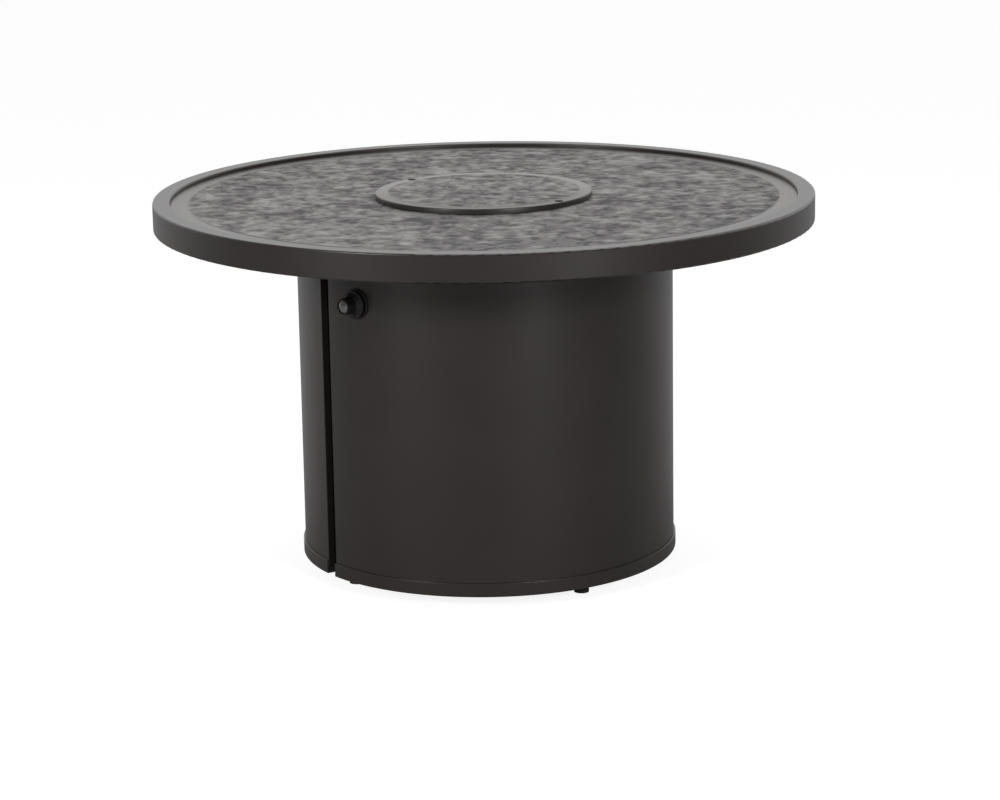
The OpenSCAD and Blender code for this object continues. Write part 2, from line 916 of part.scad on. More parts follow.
module burner_pan() {
    color(steel)
        difference() {
            union() {
                tube(pan_flange_r, pan_in_r, pan_flange_bottom, panel_bottom);
                tube(pan_out_r, pan_in_r, pan_bottom, panel_bottom);
                translate([0, 0, pan_bottom]) cylinder(r = pan_out_r, h = pan_t);
            }
            translate([0, 0, pan_bottom - cut_over])
                cylinder(r = riser_r + bolt_clear, h = pan_t + 2 * cut_over);
            around(drain_count, drain_turn, drain_circle_r)
                translate([0, 0, pan_bottom - cut_over])
                    cylinder(r = drain_r, h = pan_t + 2 * cut_over);
            around(stud_count, stud_turn, stud_circle_r)
                translate([0, 0, pan_flange_bottom - cut_over])
                    cylinder(r = stud_r + bolt_clear, h = pan_t + 2 * cut_over);
            rotate([0, 0, electrode_angle])
                translate([electrode_r, 0, pan_bottom - cut_over])
                    cylinder(r = insulator_r + bolt_clear, h = pan_t + 2 * cut_over);
        }
}

module pan_studs() {
    color(zinc)
        around(stud_count, stud_turn, stud_circle_r)
            translate([0, 0, panel_bottom - stud_drop])
                cylinder(r = stud_r, h = stud_drop - weld_gap);
}

module pan_nuts() {
    color(zinc)
        around(stud_count, stud_turn, stud_circle_r)
            translate([0, 0, pan_flange_bottom - weld_gap - stud_nut_h])
                hex_prism(stud_nut_af, stud_nut_h, stud_r + pin_clear);
}

module burner_ring() {
    color(steel)
        difference() {
            union() {
                burner_tubes(burner_tube_r, cross_r);
                translate([0, 0, riser_bottom])
                    cylinder(r = riser_r, h = burner_z - riser_bottom);
            }
            burner_tubes(burner_tube_r - burner_wall, cross_r - burner_wall);
            translate([0, 0, riser_bottom - cut_over])
                cylinder(r = riser_bore_r, h = burner_z - riser_bottom + cut_over);
            around(port_count, 180 / port_count, burner_r)
                translate([0, 0, burner_z])
                    rotate([0, port_tilt, 0])
                        cylinder(r = port_r, h = burner_tube_r + cut_over);
        }
}

// Ring and cross tube of the burner, at the radii given
module burner_tubes(ring_tube_r, cross_tube_r) {
    translate([0, 0, burner_z]) {
        rotate_extrude() translate([burner_r, 0]) circle(ring_tube_r);
        translate([-burner_r, 0, 0]) rotate([0, 90, 0]) cylinder(r = cross_tube_r, h = 2 * burner_r);
    }
}

module burner_nuts() {
    bore = riser_r + pin_clear;
    color(brass_tone) {
        translate([0, 0, pan_bottom - riser_nut_h]) hex_prism(riser_nut_af, riser_nut_h, bore);
        translate([0, 0, pan_floor]) hex_prism(riser_nut_af, riser_top_nut_h, bore);
    }
}

// Children in the upright plane that holds the gas line, with +X along the knob's direction
module gas_plane() {
    rotate([0, 0, knob_angle]) children();
}

module burner_elbow() {
    color(brass_tone)
        difference() {
            union() {
                translate([0, 0, line_z - elbow_base])
                    cylinder(r = elbow_up_r, h = elbow_top - line_z + elbow_base);
                gas_plane() rod([0, line_z], [elbow_reach, line_z], elbow_side_r);
            }
            translate([0, 0, riser_bottom - pin_clear])
                cylinder(r = riser_r + pin_clear, h = elbow_socket + cut_over);
            translate([0, 0, line_z]) cylinder(r = elbow_up_bore_r, h = elbow_socket);
            gas_plane() {
                rod([0, line_z], [elbow_reach, line_z], elbow_side_bore_r);
                rod([mixer_start - pin_clear, line_z], [elbow_reach + cut_over, line_z],
                    mixer_neck_r + pin_clear);
            }
        }
}

module air_mixer() {
    bell_start = elbow_reach + weld_gap;
    hole_at = mixer_end - air_hole_back;
    color(steel)
        gas_plane()
            difference() {
                union() {
                    rod([mixer_start, line_z], [bell_start, line_z], mixer_neck_r);
                    rod([bell_start, line_z], [mixer_end, line_z], mixer_r);
                }
                rod([mixer_start - cut_over, line_z], [mixer_end - mixer_wall, line_z],
                    mixer_neck_r - mixer_wall);
                rod([mixer_end - 2 * mixer_wall, line_z], [mixer_end + cut_over, line_z],
                    jet_spud_r + weld_gap);
                for (i = [0 : air_hole_count - 1])
                    translate([hole_at, 0, line_z])
                        rotate([i * 360 / air_hole_count, 0, 0])
                            cylinder(r = air_hole_r, h = mixer_r + cut_over);
            }
}

module gas_jet() {
    color(brass_tone)
        gas_plane()
            difference() {
                union() {
                    translate([jet_start, 0, line_z]) rotate([0, 90, 0]) hex_prism(jet_af, jet_len);
                    rod([jet_start - jet_spud, line_z], [jet_end, line_z], jet_spud_r);
                }
                rod([jet_start, line_z], [jet_end + cut_over, line_z], jet_spud_r - jet_wall);
            }
}

// What lies on one side of the plane through p, square to a heading in the gas plane
module half_space(p, heading, side) {
    size = 2 * drum_r;
    translate([p[0], 0, p[1]])
        rotate([0, -heading, 0])
            translate([side > 0 ? 0 : -size, -size / 2, -size / 2])
                cube(size);
}

// Pipe along a run of points in the gas plane, with mitred bends; over lengthens its two ends
module pipe_run(points, r, over) {
    last = len(points) - 2;
    legs = [for (i = [0 : last]) points[i + 1] - points[i]];
    headings = [for (leg = legs) atan2(leg[1], leg[0])];
    for (i = [0 : last])
        let (along = legs[i] / norm(legs[i]))
            intersection() {
                rod(points[i] - along * (i == 0 ? over : 2 * r),
                    points[i + 1] + along * (i == last ? over : 2 * r), r);
                if (i > 0)
                    half_space(points[i], (headings[i - 1] + headings[i]) / 2, 1);
                if (i < last)
                    half_space(points[i + 1], (headings[i] + headings[i + 1]) / 2, -1);
            }
}

// The pipe leaves the jet level, bends down to the valve's height and runs level into the valve
module gas_pipe() {
    tangent = pipe_bend_r * tan(pipe_slope / 2);
    dip = [tangent * cos(pipe_slope), -tangent * sin(pipe_slope)];
    high = [pipe_level_in, line_z];
    low = [pipe_drop_at, knob_z];
    points = [
        [jet_end + weld_gap, line_z],
        high - [tangent, 0],
        high + dip,
        low - dip,
        low + [tangent, 0],
        [pipe_start - weld_gap, knob_z]
    ];
    color(steel)
        gas_plane()
            difference() {
                pipe_run(points, pipe_r, 0);
                pipe_run(points, pipe_bore_r, cut_over);
            }
}

module pipe_nuts() {
    bore = pipe_r + pin_clear;
    color(brass_tone)
        gas_plane() {
            translate([pipe_start - weld_gap - pipe_nut_len, 0, knob_z])
                rotate([0, 90, 0])
                    hex_prism(pipe_nut_af, pipe_nut_len, bore);
            translate([jet_end + weld_gap, 0, line_z])
                rotate([0, 90, 0])
                    hex_prism(pipe_nut_af, pipe_nut_len, bore);
        }
}

// Gas control

module valve_body() {
    color(brass_tone)
        difference() {
            union() {
                radial(knob_angle, knob_z) {
                    translate([0, 0, valve_back]) cylinder(r = valve_r, h = valve_len);
                    translate([0, 0, plate_in - cut_over])
                        cylinder(r = valve_neck_r, h = neck_front - plate_in + cut_over);
                    translate([0, 0, pipe_start])
                        cylinder(r = valve_boss_r, h = valve_boss_len + cut_over);
                }
                gas_plane() rod([inlet_place, inlet_top], [inlet_place, knob_z], inlet_boss_r);
            }
            radial(knob_angle, knob_z) {
                translate([0, 0, stem_back - cut_over])
                    cylinder(r = stem_r + pin_clear, h = neck_front - stem_back + 2 * cut_over);
                translate([0, 0, pipe_start - cut_over])
                    cylinder(r = pipe_bore_r, h = stem_back - pipe_start + cut_over);
            }
        }
}

module gas_inlet() {
    color(brass_tone)
        gas_plane()
            translate([inlet_place, 0, inlet_bottom])
                difference() {
                    cylinder(r = inlet_d / 2, h = inlet_len - weld_gap);
                    translate([0, 0, -cut_over]) cylinder(r = inlet_bore_r, h = inlet_len + 2 * cut_over);
                }
}

module valve_plate() {
    color(dark)
        radial(knob_angle, knob_z)
            difference() {
                translate([-plate_h / 2, -plate_w / 2, plate_in]) cube([plate_h, plate_w, plate_t]);
                translate([0, 0, plate_in - cut_over])
                    cylinder(r = valve_neck_r + bolt_clear, h = plate_t + 2 * cut_over);
            }
}

module valve_nut() {
    color(zinc)
        radial(knob_angle, knob_z)
            translate([0, 0, bezel_front + weld_gap])
                hex_prism(neck_nut_af, neck_nut_h, valve_neck_r + pin_clear);
}

// The bezel's back follows the drum
module knob_bezel() {
    color(dark)
        difference() {
            radial(knob_angle, knob_z)
                difference() {
                    rotate_extrude() difference() {
                        translate([0, drum_r - bezel_skirt])
                            square([bezel_d / 2, bezel_t + bezel_skirt]);
                        corner_cut([bezel_d / 2, bezel_front], bezel_round, 0);
                    }
                    translate([0, 0, drum_r - bezel_skirt - cut_over])
                        cylinder(r = valve_neck_r + bolt_clear,
                                 h = bezel_t + bezel_skirt + 2 * cut_over);
                }
            translate([0, 0, knob_z - bezel_d])
                cylinder(r = drum_r + weld_gap, h = 2 * bezel_d, $fn = arc_fn);
        }
}

module valve_stem() {
    color(steel)
        radial(knob_angle, knob_z)
            difference() {
                translate([0, 0, stem_back]) cylinder(r = stem_r, h = stem_front - stem_back);
                translate([stem_r - stem_flat, -stem_r, neck_front + knob_travel])
                    cube([stem_r, 2 * stem_r, knob_len]);
            }
}

// Skirt, flank and grip of the knob as one turned section
module knob_section() {
    difference() {
        union() {
            square([knob_r, skirt_t]);
            polygon([[0, skirt_t], [flank_r, skirt_t], [grip_r, flank_end], [0, flank_end]]);
            polygon([
                [0, flank_end],
                [grip_r, flank_end],
                [grip_end_r, knob_len - grip_bevel],
                [grip_end_r - grip_bevel, knob_len],
                [0, knob_len]
            ]);
        }
        corner_cut([knob_r, skirt_t], skirt_round, 0);
    }
}

module control_knob() {
    color(dark)
        radial(knob_angle, knob_z)
            translate([0, 0, knob_back])
                difference() {
                    rotate_extrude() knob_section();
                    translate([0, 0, -cut_over]) cylinder(r = cavity_r, h = cavity_h + cut_over);
                    difference() {
                        cylinder(r = stem_r + pin_clear, h = knob_bore_end);
                        translate([stem_r - stem_flat + pin_clear, -stem_r, cavity_h + knob_travel])
                            cube([stem_r, 2 * stem_r, knob_len]);
                    }
                    translate([0, 0, knob_len - cap_t]) cylinder(r = cap_r, h = cap_t + cut_over);
                    for (i = [0 : flute_count - 1])
                        rotate([0, 0, (i + 0.5) * 360 / flute_count])
                            translate([grip_r + flute_r - flute_depth, 0, flank_end])
                                rotate([0, -grip_lean, 0])
                                    translate([0, 0, flute_lift])
                                        cylinder(r = flute_r, h = flute_len);
                }
}

module knob_cap() {
    color(steel)
        radial(knob_angle, knob_z)
            translate([0, 0, knob_back + knob_len - cap_t + cap_clear])
                rotate_extrude()
                    intersection() {
                        square([cap_r - cap_clear, cap_t - cap_clear]);
                        translate([0, cap_t - cap_clear - cap_dome_r]) circle(cap_dome_r, $fn = arc_fn);
                    }
}

// Spark electrode

module electrode_place() {
    rotate([0, 0, electrode_angle]) translate([electrode_r, 0, 0]) children();
}

module electrode_insulator() {
    color(ceramic_tone)
        electrode_place()
            difference() {
                union() {
                    translate([0, 0, insulator_bottom])
                        cylinder(r = insulator_r, h = insulator_top - insulator_bottom);
                    translate([0, 0, pan_floor]) hex_prism(insulator_hex_af, insulator_hex_h);
                }
                translate([0, 0, insulator_bottom - cut_over])
                    cylinder(r = spark_r + pin_clear,
                             h = insulator_top - insulator_bottom + 2 * cut_over);
            }
}

module electrode_pin() {
    color(steel)
        electrode_place() {
            rod([0, spark_bottom], [0, spark_top], spark_r);
            rod([-spark_reach, spark_top], [0, spark_top], spark_r);
            translate([0, 0, spark_top]) sphere(spark_r);
        }
}

// Heat shield

module heat_shield() {
    color(steel)
        difference() {
            tube(shield_r, shield_hole_r, shield_bottom, shield_top);
            around(hanger_count, hanger_turn, hanger_circle_r)
                translate([0, 0, shield_bottom - cut_over])
                    cylinder(r = hanger_pin_r + bolt_clear, h = pan_t + 2 * cut_over);
        }
}

module shield_hangers() {
    color(zinc)
        around(hanger_count, hanger_turn, hanger_circle_r) {
            translate([0, 0, shield_top + weld_gap])
                cylinder(r = hanger_r, h = shield_gap - 2 * weld_gap);
            translate([0, 0, hanger_end])
                cylinder(r = hanger_pin_r, h = pan_bottom - weld_gap - hanger_end);
        }
}

module shield_nuts() {
    color(zinc)
        around(hanger_count, hanger_turn, hanger_circle_r)
            translate([0, 0, shield_bottom - weld_gap - stud_nut_h])
                hex_prism(stud_nut_af, stud_nut_h, hanger_pin_r + pin_clear);
}

// Lava rocks: three uneven rings of corners and a peak, flat underneath

module lava_rock(size, height, seed) {
    grow = rands(0.8, 1, 2 * rock_sides + 1, seed);
    levels = [[0, 0.7], [0.45, 1], [0.85, 0.55]];
    corners = [
        for (k = [0 : 2], i = [0 : rock_sides - 1])
            let (
                turn = (i + rock_twist * k) * 360 / rock_sides,
                out = size * levels[k][1] * grow[i + (k % 2) * rock_sides],
                up = height * levels[k][0]
            )
            [out * cos(turn), out * sin(turn), up]
    ];
    peak = [0, 0, height * grow[2 * rock_sides]];
    top = 2 * rock_sides;
    base_faces = [for (i = [1 : rock_sides - 2]) [0, i, i + 1]];
    side_faces = [
        for (k = [0, rock_sides], i = [0 : rock_sides - 1])
            let (j = (i + 1) % rock_sides)
            each [
                [k + i, k + i + rock_sides, k + j],
                [k + j, k + i + rock_sides, k + j + rock_sides]
            ]
    ];
    peak_faces = [for (i = [0 : rock_sides - 1]) [top + i, top + rock_sides, top + (i + 1) % rock_sides]];
    polyhedron(concat(corners, [peak]), concat(base_faces, side_faces, peak_faces));
}

module lava_rocks() {
    first = electrode_angle + 360 / rock_count;
    color(lava)
        translate([0, 0, pan_floor + rock_sink]) {
            for (i = [0 : rock_count - 2])
                rotate([0, 0, first + i * 360 / rock_count])
                    translate([rock_ring_r, 0, 0])
                        lava_rock(rock_r, rock_h, i);
            for (i = [0 : len(inner_rock_turns) - 1])
                rotate([0, 0, inner_rock_turns[i]])
                    translate([inner_rock_ring_r, 0, 0])
                        lava_rock(inner_rock_r, rock_h, rock_count + i);
        }
}

// Burner cover

module cover_plate() {
    skirt_bottom = field_top + rest_gap;
    color(slate)
        difference() {
            rotate_extrude() difference() {
                union() {
                    translate([0, cover_under]) square([cover_r, cover_t]);
                    translate([cover_r - cover_t, skirt_bottom]) square([cover_t, cover_top - skirt_bottom]);
                    translate([0, cover_under]) square([cover_r - cover_border, cover_t + cover_field_rise]);
                }
                corner_cut([cover_r, cover_top], cover_round, 0);
            }
            around(2, finger_hole_angle, finger_hole_r)
                translate([0, 0, cover_under - cut_over])
                    cylinder(r = finger_hole_d / 2, h = cover_t + cover_field_rise + 2 * cut_over);
        }
}

module cover_guides() {
    color(steel)
        for (i = [0 : guide_count - 1]) {
            turn = finger_hole_angle + guide_turn + i * 360 / guide_count;
            arc_wall(mouth_r - guide_clear - guide_t, mouth_r - guide_clear,
                     cover_under - guide_drop, cover_under, turn - guide_half, turn + guide_half);
        }
}

rim_frame();
slate_panel();
support_arms();
rim_screws();
frame_bolts();
frame_nuts();
drum_shell();
drum_flange();
base_band();
latch_jamb();
hinge_jamb();
base_plate();
tank_ring();
foot_bushes();
hinge_fixed_leaves();
hinge_pins();
hinge_rivets();
magnet_catches();
burner_pan();
pan_studs();
pan_nuts();
burner_ring();
burner_nuts();
burner_elbow();
air_mixer();
gas_jet();
gas_pipe();
pipe_nuts();
valve_body();
gas_inlet();
valve_plate();
valve_nut();
knob_bezel();
electrode_insulator();
electrode_pin();
heat_shield();
shield_hangers();
shield_nuts();
lava_rocks();
door_panel();
door_band();
door_frame();
hinge_door_leaves();
door_rivets();
strike_plates();
cover_plate();
cover_guides();
valve_stem();
control_knob();
knob_cap();
for (i = [0 : len(foot_angles) - 1]) {
    leveller_stem(i);
    leveller_pad(i);
}
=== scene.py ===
from math import cos, floor, pi, radians, sin, tan

import bmesh
import bpy
from mathutils import Matrix, Vector, noise


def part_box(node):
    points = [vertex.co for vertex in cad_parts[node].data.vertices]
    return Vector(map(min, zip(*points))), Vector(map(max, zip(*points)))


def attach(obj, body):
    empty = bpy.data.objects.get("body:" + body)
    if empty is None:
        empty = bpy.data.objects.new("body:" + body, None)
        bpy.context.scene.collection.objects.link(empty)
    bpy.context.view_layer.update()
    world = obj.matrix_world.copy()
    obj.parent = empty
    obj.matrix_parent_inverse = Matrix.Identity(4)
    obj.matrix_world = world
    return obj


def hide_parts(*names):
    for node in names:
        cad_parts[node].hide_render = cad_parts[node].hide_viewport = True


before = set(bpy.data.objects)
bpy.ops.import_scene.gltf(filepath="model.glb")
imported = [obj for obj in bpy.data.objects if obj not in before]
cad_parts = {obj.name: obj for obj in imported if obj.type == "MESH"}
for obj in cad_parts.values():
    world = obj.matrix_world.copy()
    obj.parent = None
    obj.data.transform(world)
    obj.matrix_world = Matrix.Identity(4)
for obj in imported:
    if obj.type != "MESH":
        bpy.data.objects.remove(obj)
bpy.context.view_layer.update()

# Levelling feet
# Four zinc-plated steel stems, each with a turned hexagon collar, screw into bushes that are
# welded into the base plate. Each stem ends in a moulded rubber pad that stands on the floor.

mm = 0.001


def linear(colour):
    """An sRGB hex colour as linear red, green, blue and alpha."""
    shares = [int(colour[i:i + 2], 16) / 255 for i in (1, 3, 5)]
    return [s / 12.92 if s <= 0.04045 else ((s + 0.055) / 1.055) ** 2.4 for s in shares] + [1]


def wire(node, inputs):
    """Sets a shader node's inputs; one that is given a node is linked to that node's first output."""
    for socket, value in inputs.items():
        if isinstance(value, bpy.types.Node):
            value = next(output for output in value.outputs if output.enabled)
        if isinstance(value, bpy.types.NodeSocket):
            node.id_data.links.new(value, node.inputs[socket])
        else:
            node.inputs[socket].default_value = value


def add(tree, kind, inputs=None, **settings):
    """Adds one shader node with its settings and inputs."""
    node = tree.nodes.new("ShaderNode" + kind)
    for name, value in settings.items():
        setattr(node, name, value)
    wire(node, inputs or {})
    return node


def new_finish(name, **constants):
    """A new material with its shader's constants: the material, its tree, its shader, its coordinates."""
    material = bpy.data.materials.new(name)
    material.use_nodes = True
    tree = material.node_tree
    shader = tree.nodes["Principled BSDF"]
    wire(shader, {socket.replace("_", " "): value for socket, value in constants.items()})
    return material, tree, shader, add(tree, "TexCoord").outputs["Object"]


def per_metre(size):
    """How many marks of this size in millimetres make a metre: the scale of a pattern."""
    return 1000 / size


def wear(material, *names):
    """Gives CAD nodes a material in place of their plain one."""
    for name in names:
        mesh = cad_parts[name].data
        mesh.materials.clear()
        mesh.materials.append(material)


# Bright zinc plate: a cool metal whose crystals cloud its gloss
zinc_plate, tree, shader, place = new_finish("bright_zinc_plate", Metallic=1.0)
crystals = add(tree, "TexNoise", {"Vector": place, "Scale": per_metre(3), "Detail": 4.0})
zinc_tones = {"Factor": crystals, "A": linear("#868a8d"), "B": linear("#b3b6b7")}
clouded = {"Value": crystals, "From Min": 0.3, "From Max": 0.7, "To Min": 0.26, "To Max": 0.46}
wire(shader, {
    "Base Color": add(tree, "Mix", zinc_tones, data_type="RGBA"),
    "Roughness": add(tree, "MapRange", clouded),
})

# Moulded rubber: near black and dull, with the fine texture of its mould
foot_rubber, tree, shader, place = new_finish("moulded_rubber", IOR=1.52)
texture = add(tree, "TexNoise", {"Vector": place, "Scale": per_metre(1.2), "Detail": 3.0})
rubber_tones = {"Factor": texture, "A": linear("#141313"), "B": linear("#272625")}
wire(shader, {
    "Base Color": add(tree, "Mix", rubber_tones, data_type="RGBA"),
    "Roughness": add(tree, "MapRange", {"Value": texture, "To Min": 0.7, "To Max": 0.9}),
    "Normal": add(tree, "Bump", {"Height": texture, "Strength": 0.4, "Distance": 0.15 * mm}),
})

foot_count = 4
for number in range(1, foot_count + 1):
    wear(zinc_plate, "leveller_stem_%d" % number)
    wear(foot_rubber, "leveller_pad_%d" % number)
wear(zinc_plate, "foot_bushes")

# Base plate and cylinder seat
# A pressed steel disc with vent holes closes the drum's foot, and a rolled ring welded on it
# locates a fuel cylinder. Both are sprayed with semi-matt black paint.

# Sprayed black paint: even and low in sheen, with a soft ripple and a little settled dust
black_paint, tree, shader, place = new_finish("semi_matt_black_paint", IOR=1.5)
ripple = add(tree, "TexNoise", {"Vector": place, "Scale": per_metre(2.5), "Detail": 2.0})
dust = add(tree, "TexNoise", {"Vector": place, "Scale": per_metre(40), "Detail": 5.0})
paint_tones = {"Factor": dust, "A": linear("#2a2827"), "B": linear("#3d3a38")}
wire(shader, {
    "Base Color": add(tree, "Mix", paint_tones, data_type="RGBA"),
    "Roughness": add(tree, "MapRange", {"Value": dust, "To Min": 0.38, "To Max": 0.6}),
    "Normal": add(tree, "Bump", {"Height": ripple, "Strength": 0.25, "Distance": 0.1 * mm}),
})
wear(black_paint, "base_plate", "tank_ring")

# Drum
# Steel sheet rolled to a cylinder and welded, with a flat bar round its foot and a flange welded
# inside its top. The outside is powder coated a satin dark bronze.

# Powder coat: warm near-black, satin, with the slight orange peel of melted powder, drawn a little
# coarse so that it shows
powder_coat, tree, shader, place = new_finish("dark_bronze_powder_coat", IOR=1.5)
peel = add(tree, "TexNoise", {"Vector": place, "Scale": per_metre(2.6), "Detail": 3.0})
cloud = add(tree, "TexNoise", {"Vector": place, "Scale": per_metre(80), "Detail": 3.0})
coat_tones = {"Factor": cloud, "A": linear("#282320"), "B": linear("#302a28")}
wire(shader, {
    "Base Color": add(tree, "Mix", coat_tones, data_type="RGBA"),
    "Roughness": add(tree, "MapRange", {"Value": peel, "To Min": 0.3, "To Max": 0.4}),
    "Normal": add(tree, "Bump", {"Height": peel, "Strength": 0.12, "Distance": 0.1 * mm}),
})
wear(powder_coat, "drum_shell", "base_band")
wear(black_paint, "drum_flange")

# Door and its jambs
# A curved sheet panel with turned-in edges and its own stretch of band hangs on two riveted butt
# hinges. Folded jambs line the opening, and magnetic catches on one meet the door's steel strikes.

wear(black_paint, "latch_jamb", "hinge_jamb", "hinge_fixed_leaves", "hinge_door_leaves")
wear(powder_coat, "door_panel", "door_band", "door_frame")
wear(zinc_plate, "hinge_pins", "hinge_rivets", "door_rivets", "strike_plates")

# Moulded black plastic: slightly glossy, with a fine eroded texture that is drawn coarse to show
moulded_black, tree, shader, place = new_finish("moulded_black_plastic", IOR=1.5)
texture = add(tree, "TexNoise", {"Vector": place, "Scale": per_metre(0.8), "Detail": 2.0})
plastic_tones = {"Factor": texture, "A": linear("#0b0a0a"), "B": linear("#151414")}
wire(shader, {
    "Base Color": add(tree, "Mix", plastic_tones, data_type="RGBA"),
    "Roughness": add(tree, "MapRange", {"Value": texture, "To Min": 0.42, "To Max": 0.6}),
    "Normal": add(tree, "Bump", {"Height": texture, "Strength": 0.15, "Distance": 0.05 * mm}),
})
wear(moulded_black, "magnet_catches")

# Gas valve and line
# A brass valve on a plate behind the drum's wall feeds the burner through a bent steel pipe, a
# brass jet and a drawn mixer tube with air holes. Compression nuts hold the pipe's ends.

# Machined brass: warm, with a thin uneven tarnish
brass, tree, shader, place = new_finish("machined_brass", Metallic=1.0)
tarnish = add(tree, "TexNoise", {"Vector": place, "Scale": per_metre(12), "Detail": 5.0})
brass_tones = {"Factor": tarnish, "A": linear("#bd9d62"), "B": linear("#86682f")}
wire(shader, {
    "Base Color": add(tree, "Mix", brass_tones, data_type="RGBA"),
    "Roughness": add(tree, "MapRange", {"Value": tarnish, "To Min": 0.18, "To Max": 0.46}),
})

# Drawn stainless steel: bright, with a soft stain from handling
drawn_steel, tree, shader, place = new_finish("drawn_stainless_steel", Metallic=1.0)
stain = add(tree, "TexNoise", {"Vector": place, "Scale": per_metre(18), "Detail": 6.0})
steel_tones = {"Factor": stain, "A": linear("#9b9a97"), "B": linear("#c4c3c0")}
wire(shader, {
    "Base Color": add(tree, "Mix", steel_tones, data_type="RGBA"),
    "Roughness": add(tree, "MapRange", {"Value": stain, "To Min": 0.2, "To Max": 0.42}),
})

wear(brass, "valve_body", "gas_inlet", "pipe_nuts", "gas_jet", "burner_elbow")
wear(drawn_steel, "air_mixer", "valve_stem")
wear(black_paint, "valve_plate")
wear(zinc_plate, "valve_nut")

# Points that are less than a hair apart count as one
hair = 0.01 * mm
pipe_radius = 4.75 * mm
pipe_sides = 24
bend_radius = 18 * mm
bend_steps = 8
knob_turn = radians(240)
outward = Vector((cos(knob_turn), sin(knob_turn), 0))
down = Vector((0, 0, -1))
jet_reach = 152.3 * mm
upper_corner_reach = 185 * mm
lower_corner_reach = 225.4 * mm
valve_reach = 245.3 * mm
line_height = Vector((0, 0, 500 * mm))
valve_height = Vector((0, 0, 477.5 * mm))
jet_point = outward * jet_reach + line_height
upper_corner = outward * upper_corner_reach + line_height
lower_corner = outward * lower_corner_reach + valve_height
valve_point = outward * valve_reach + valve_height


def add_piece(bm, name, body, material, slot, *nodes, crease=35):
    """Makes a piece of a bmesh that is in place, smooth up to the crease angle, standing for CAD nodes."""
    mesh = bpy.data.meshes.new(name)
    bm.to_mesh(mesh)
    bm.free()
    mesh.shade_smooth()
    mesh.set_sharp_from_angle(angle=radians(crease))
    mesh.materials.append(material)
    piece = bpy.data.objects.new(name, mesh)
    bpy.context.scene.collection.objects.link(piece)
    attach(piece, body)
    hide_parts(*nodes)
    return piece


def only(kind, made):
    """The vertices or edges among what an operator made."""
    return [part for part in made if isinstance(part, kind)]


def run_straight(bm, rim, way):
    """Draws a tube's open rim out along a vector and returns its new rim."""
    made = bmesh.ops.extrude_edge_only(bm, edges=rim)["geom"]
    bmesh.ops.translate(bm, verts=only(bmesh.types.BMVert, made), vec=way)
    return only(bmesh.types.BMEdge, made)


def run_bend(bm, rim, centre, axis, angle):
    """Turns a tube's open rim about a bend's centre and returns its new rim."""
    made = bmesh.ops.spin(bm, geom=rim, cent=centre, axis=axis, angle=angle, steps=bend_steps)
    return only(bmesh.types.BMEdge, made["geom_last"])


slope_way = (lower_corner - upper_corner).normalized()
slope = outward.angle(slope_way)
tangent = bend_radius * tan(slope / 2)
facing = outward.to_track_quat("Z", "Y").to_matrix().to_4x4()
bm = bmesh.new()
bmesh.ops.create_circle(bm, segments=pipe_sides, radius=pipe_radius,
                        matrix=Matrix.Translation(jet_point) @ facing)
rim = run_straight(bm, bm.edges[:], upper_corner - outward * tangent - jet_point)
rim = run_bend(bm, rim, upper_corner - outward * tangent + down * bend_radius, outward.cross(down), slope)
rim = run_straight(bm, rim, lower_corner - upper_corner - 2 * tangent * slope_way)
rim = run_bend(bm, rim, lower_corner + outward * tangent - down * bend_radius, down.cross(outward), slope)
run_straight(bm, rim, valve_point - lower_corner - outward * tangent)
bmesh.ops.remove_doubles(bm, verts=bm.verts, dist=hair)
bmesh.ops.holes_fill(bm, edges=bm.edges)
bmesh.ops.recalc_face_normals(bm, faces=bm.faces)
add_piece(bm, "bent_gas_pipe", "table", drawn_steel, "stainless", "gas_pipe")

# Burner
# A spun stainless pan hangs under the panel's mouth on welded studs. The burner's ring of tube is
# clamped to its floor by two nuts, with a spark electrode beside it and a heat shield below.

# Spun stainless steel: fine rings about the table's axis, left by the tool and by brushing, and
# drawn coarser than they are so that they show
spun_steel, tree, shader, place = new_finish("spun_stainless_steel", Metallic=1.0)
flat_place = add(tree, "VectorMath", {0: place, 1: (1, 1, 0)}, operation="MULTIPLY")
radius = add(tree, "VectorMath", {0: flat_place}, operation="LENGTH").outputs["Value"]
height = add(tree, "SeparateXYZ", {0: place}).outputs["Z"]
ring_place = add(tree, "CombineXYZ", {"X": radius, "Y": height})
lines = add(tree, "TexNoise", {"Vector": ring_place, "Scale": per_metre(0.9), "Detail": 3.0})
spun_tones = {"Factor": lines, "A": linear("#9d9c99"), "B": linear("#c2c1bd")}
wire(shader, {
    "Base Color": add(tree, "Mix", spun_tones, data_type="RGBA"),
    "Roughness": add(tree, "MapRange", {"Value": lines, "To Min": 0.2, "To Max": 0.44}),
    "Normal": add(tree, "Bump", {"Height": lines, "Strength": 0.1, "Distance": 0.05 * mm}),
})

# Fired ceramic: off-white and unglazed, faintly speckled
ceramic, tree, shader, place = new_finish("fired_ceramic", IOR=1.6)
specks = add(tree, "TexNoise", {"Vector": place, "Scale": per_metre(1.5), "Detail": 4.0})
ceramic_tones = {"Factor": specks, "A": linear("#d0c8b8"), "B": linear("#efeae0")}
wire(shader, {
    "Base Color": add(tree, "Mix", ceramic_tones, data_type="RGBA"),
    "Roughness": add(tree, "MapRange", {"Value": specks, "To Min": 0.4, "To Max": 0.7}),
})

wear(spun_steel, "burner_pan", "burner_ring", "heat_shield")
wear(drawn_steel, "electrode_pin")
wear(ceramic, "electrode_insulator")
wear(brass, "burner_nuts")
wear(zinc_plate, "pan_studs", "pan_nuts", "shield_hangers", "shield_nuts")

# Lava rocks
# Broken pieces of porous red-brown lava lie in the pan on both sides of the burner's tube. They
# are loose, tumbled a little, and pitted all over by gas bubbles.

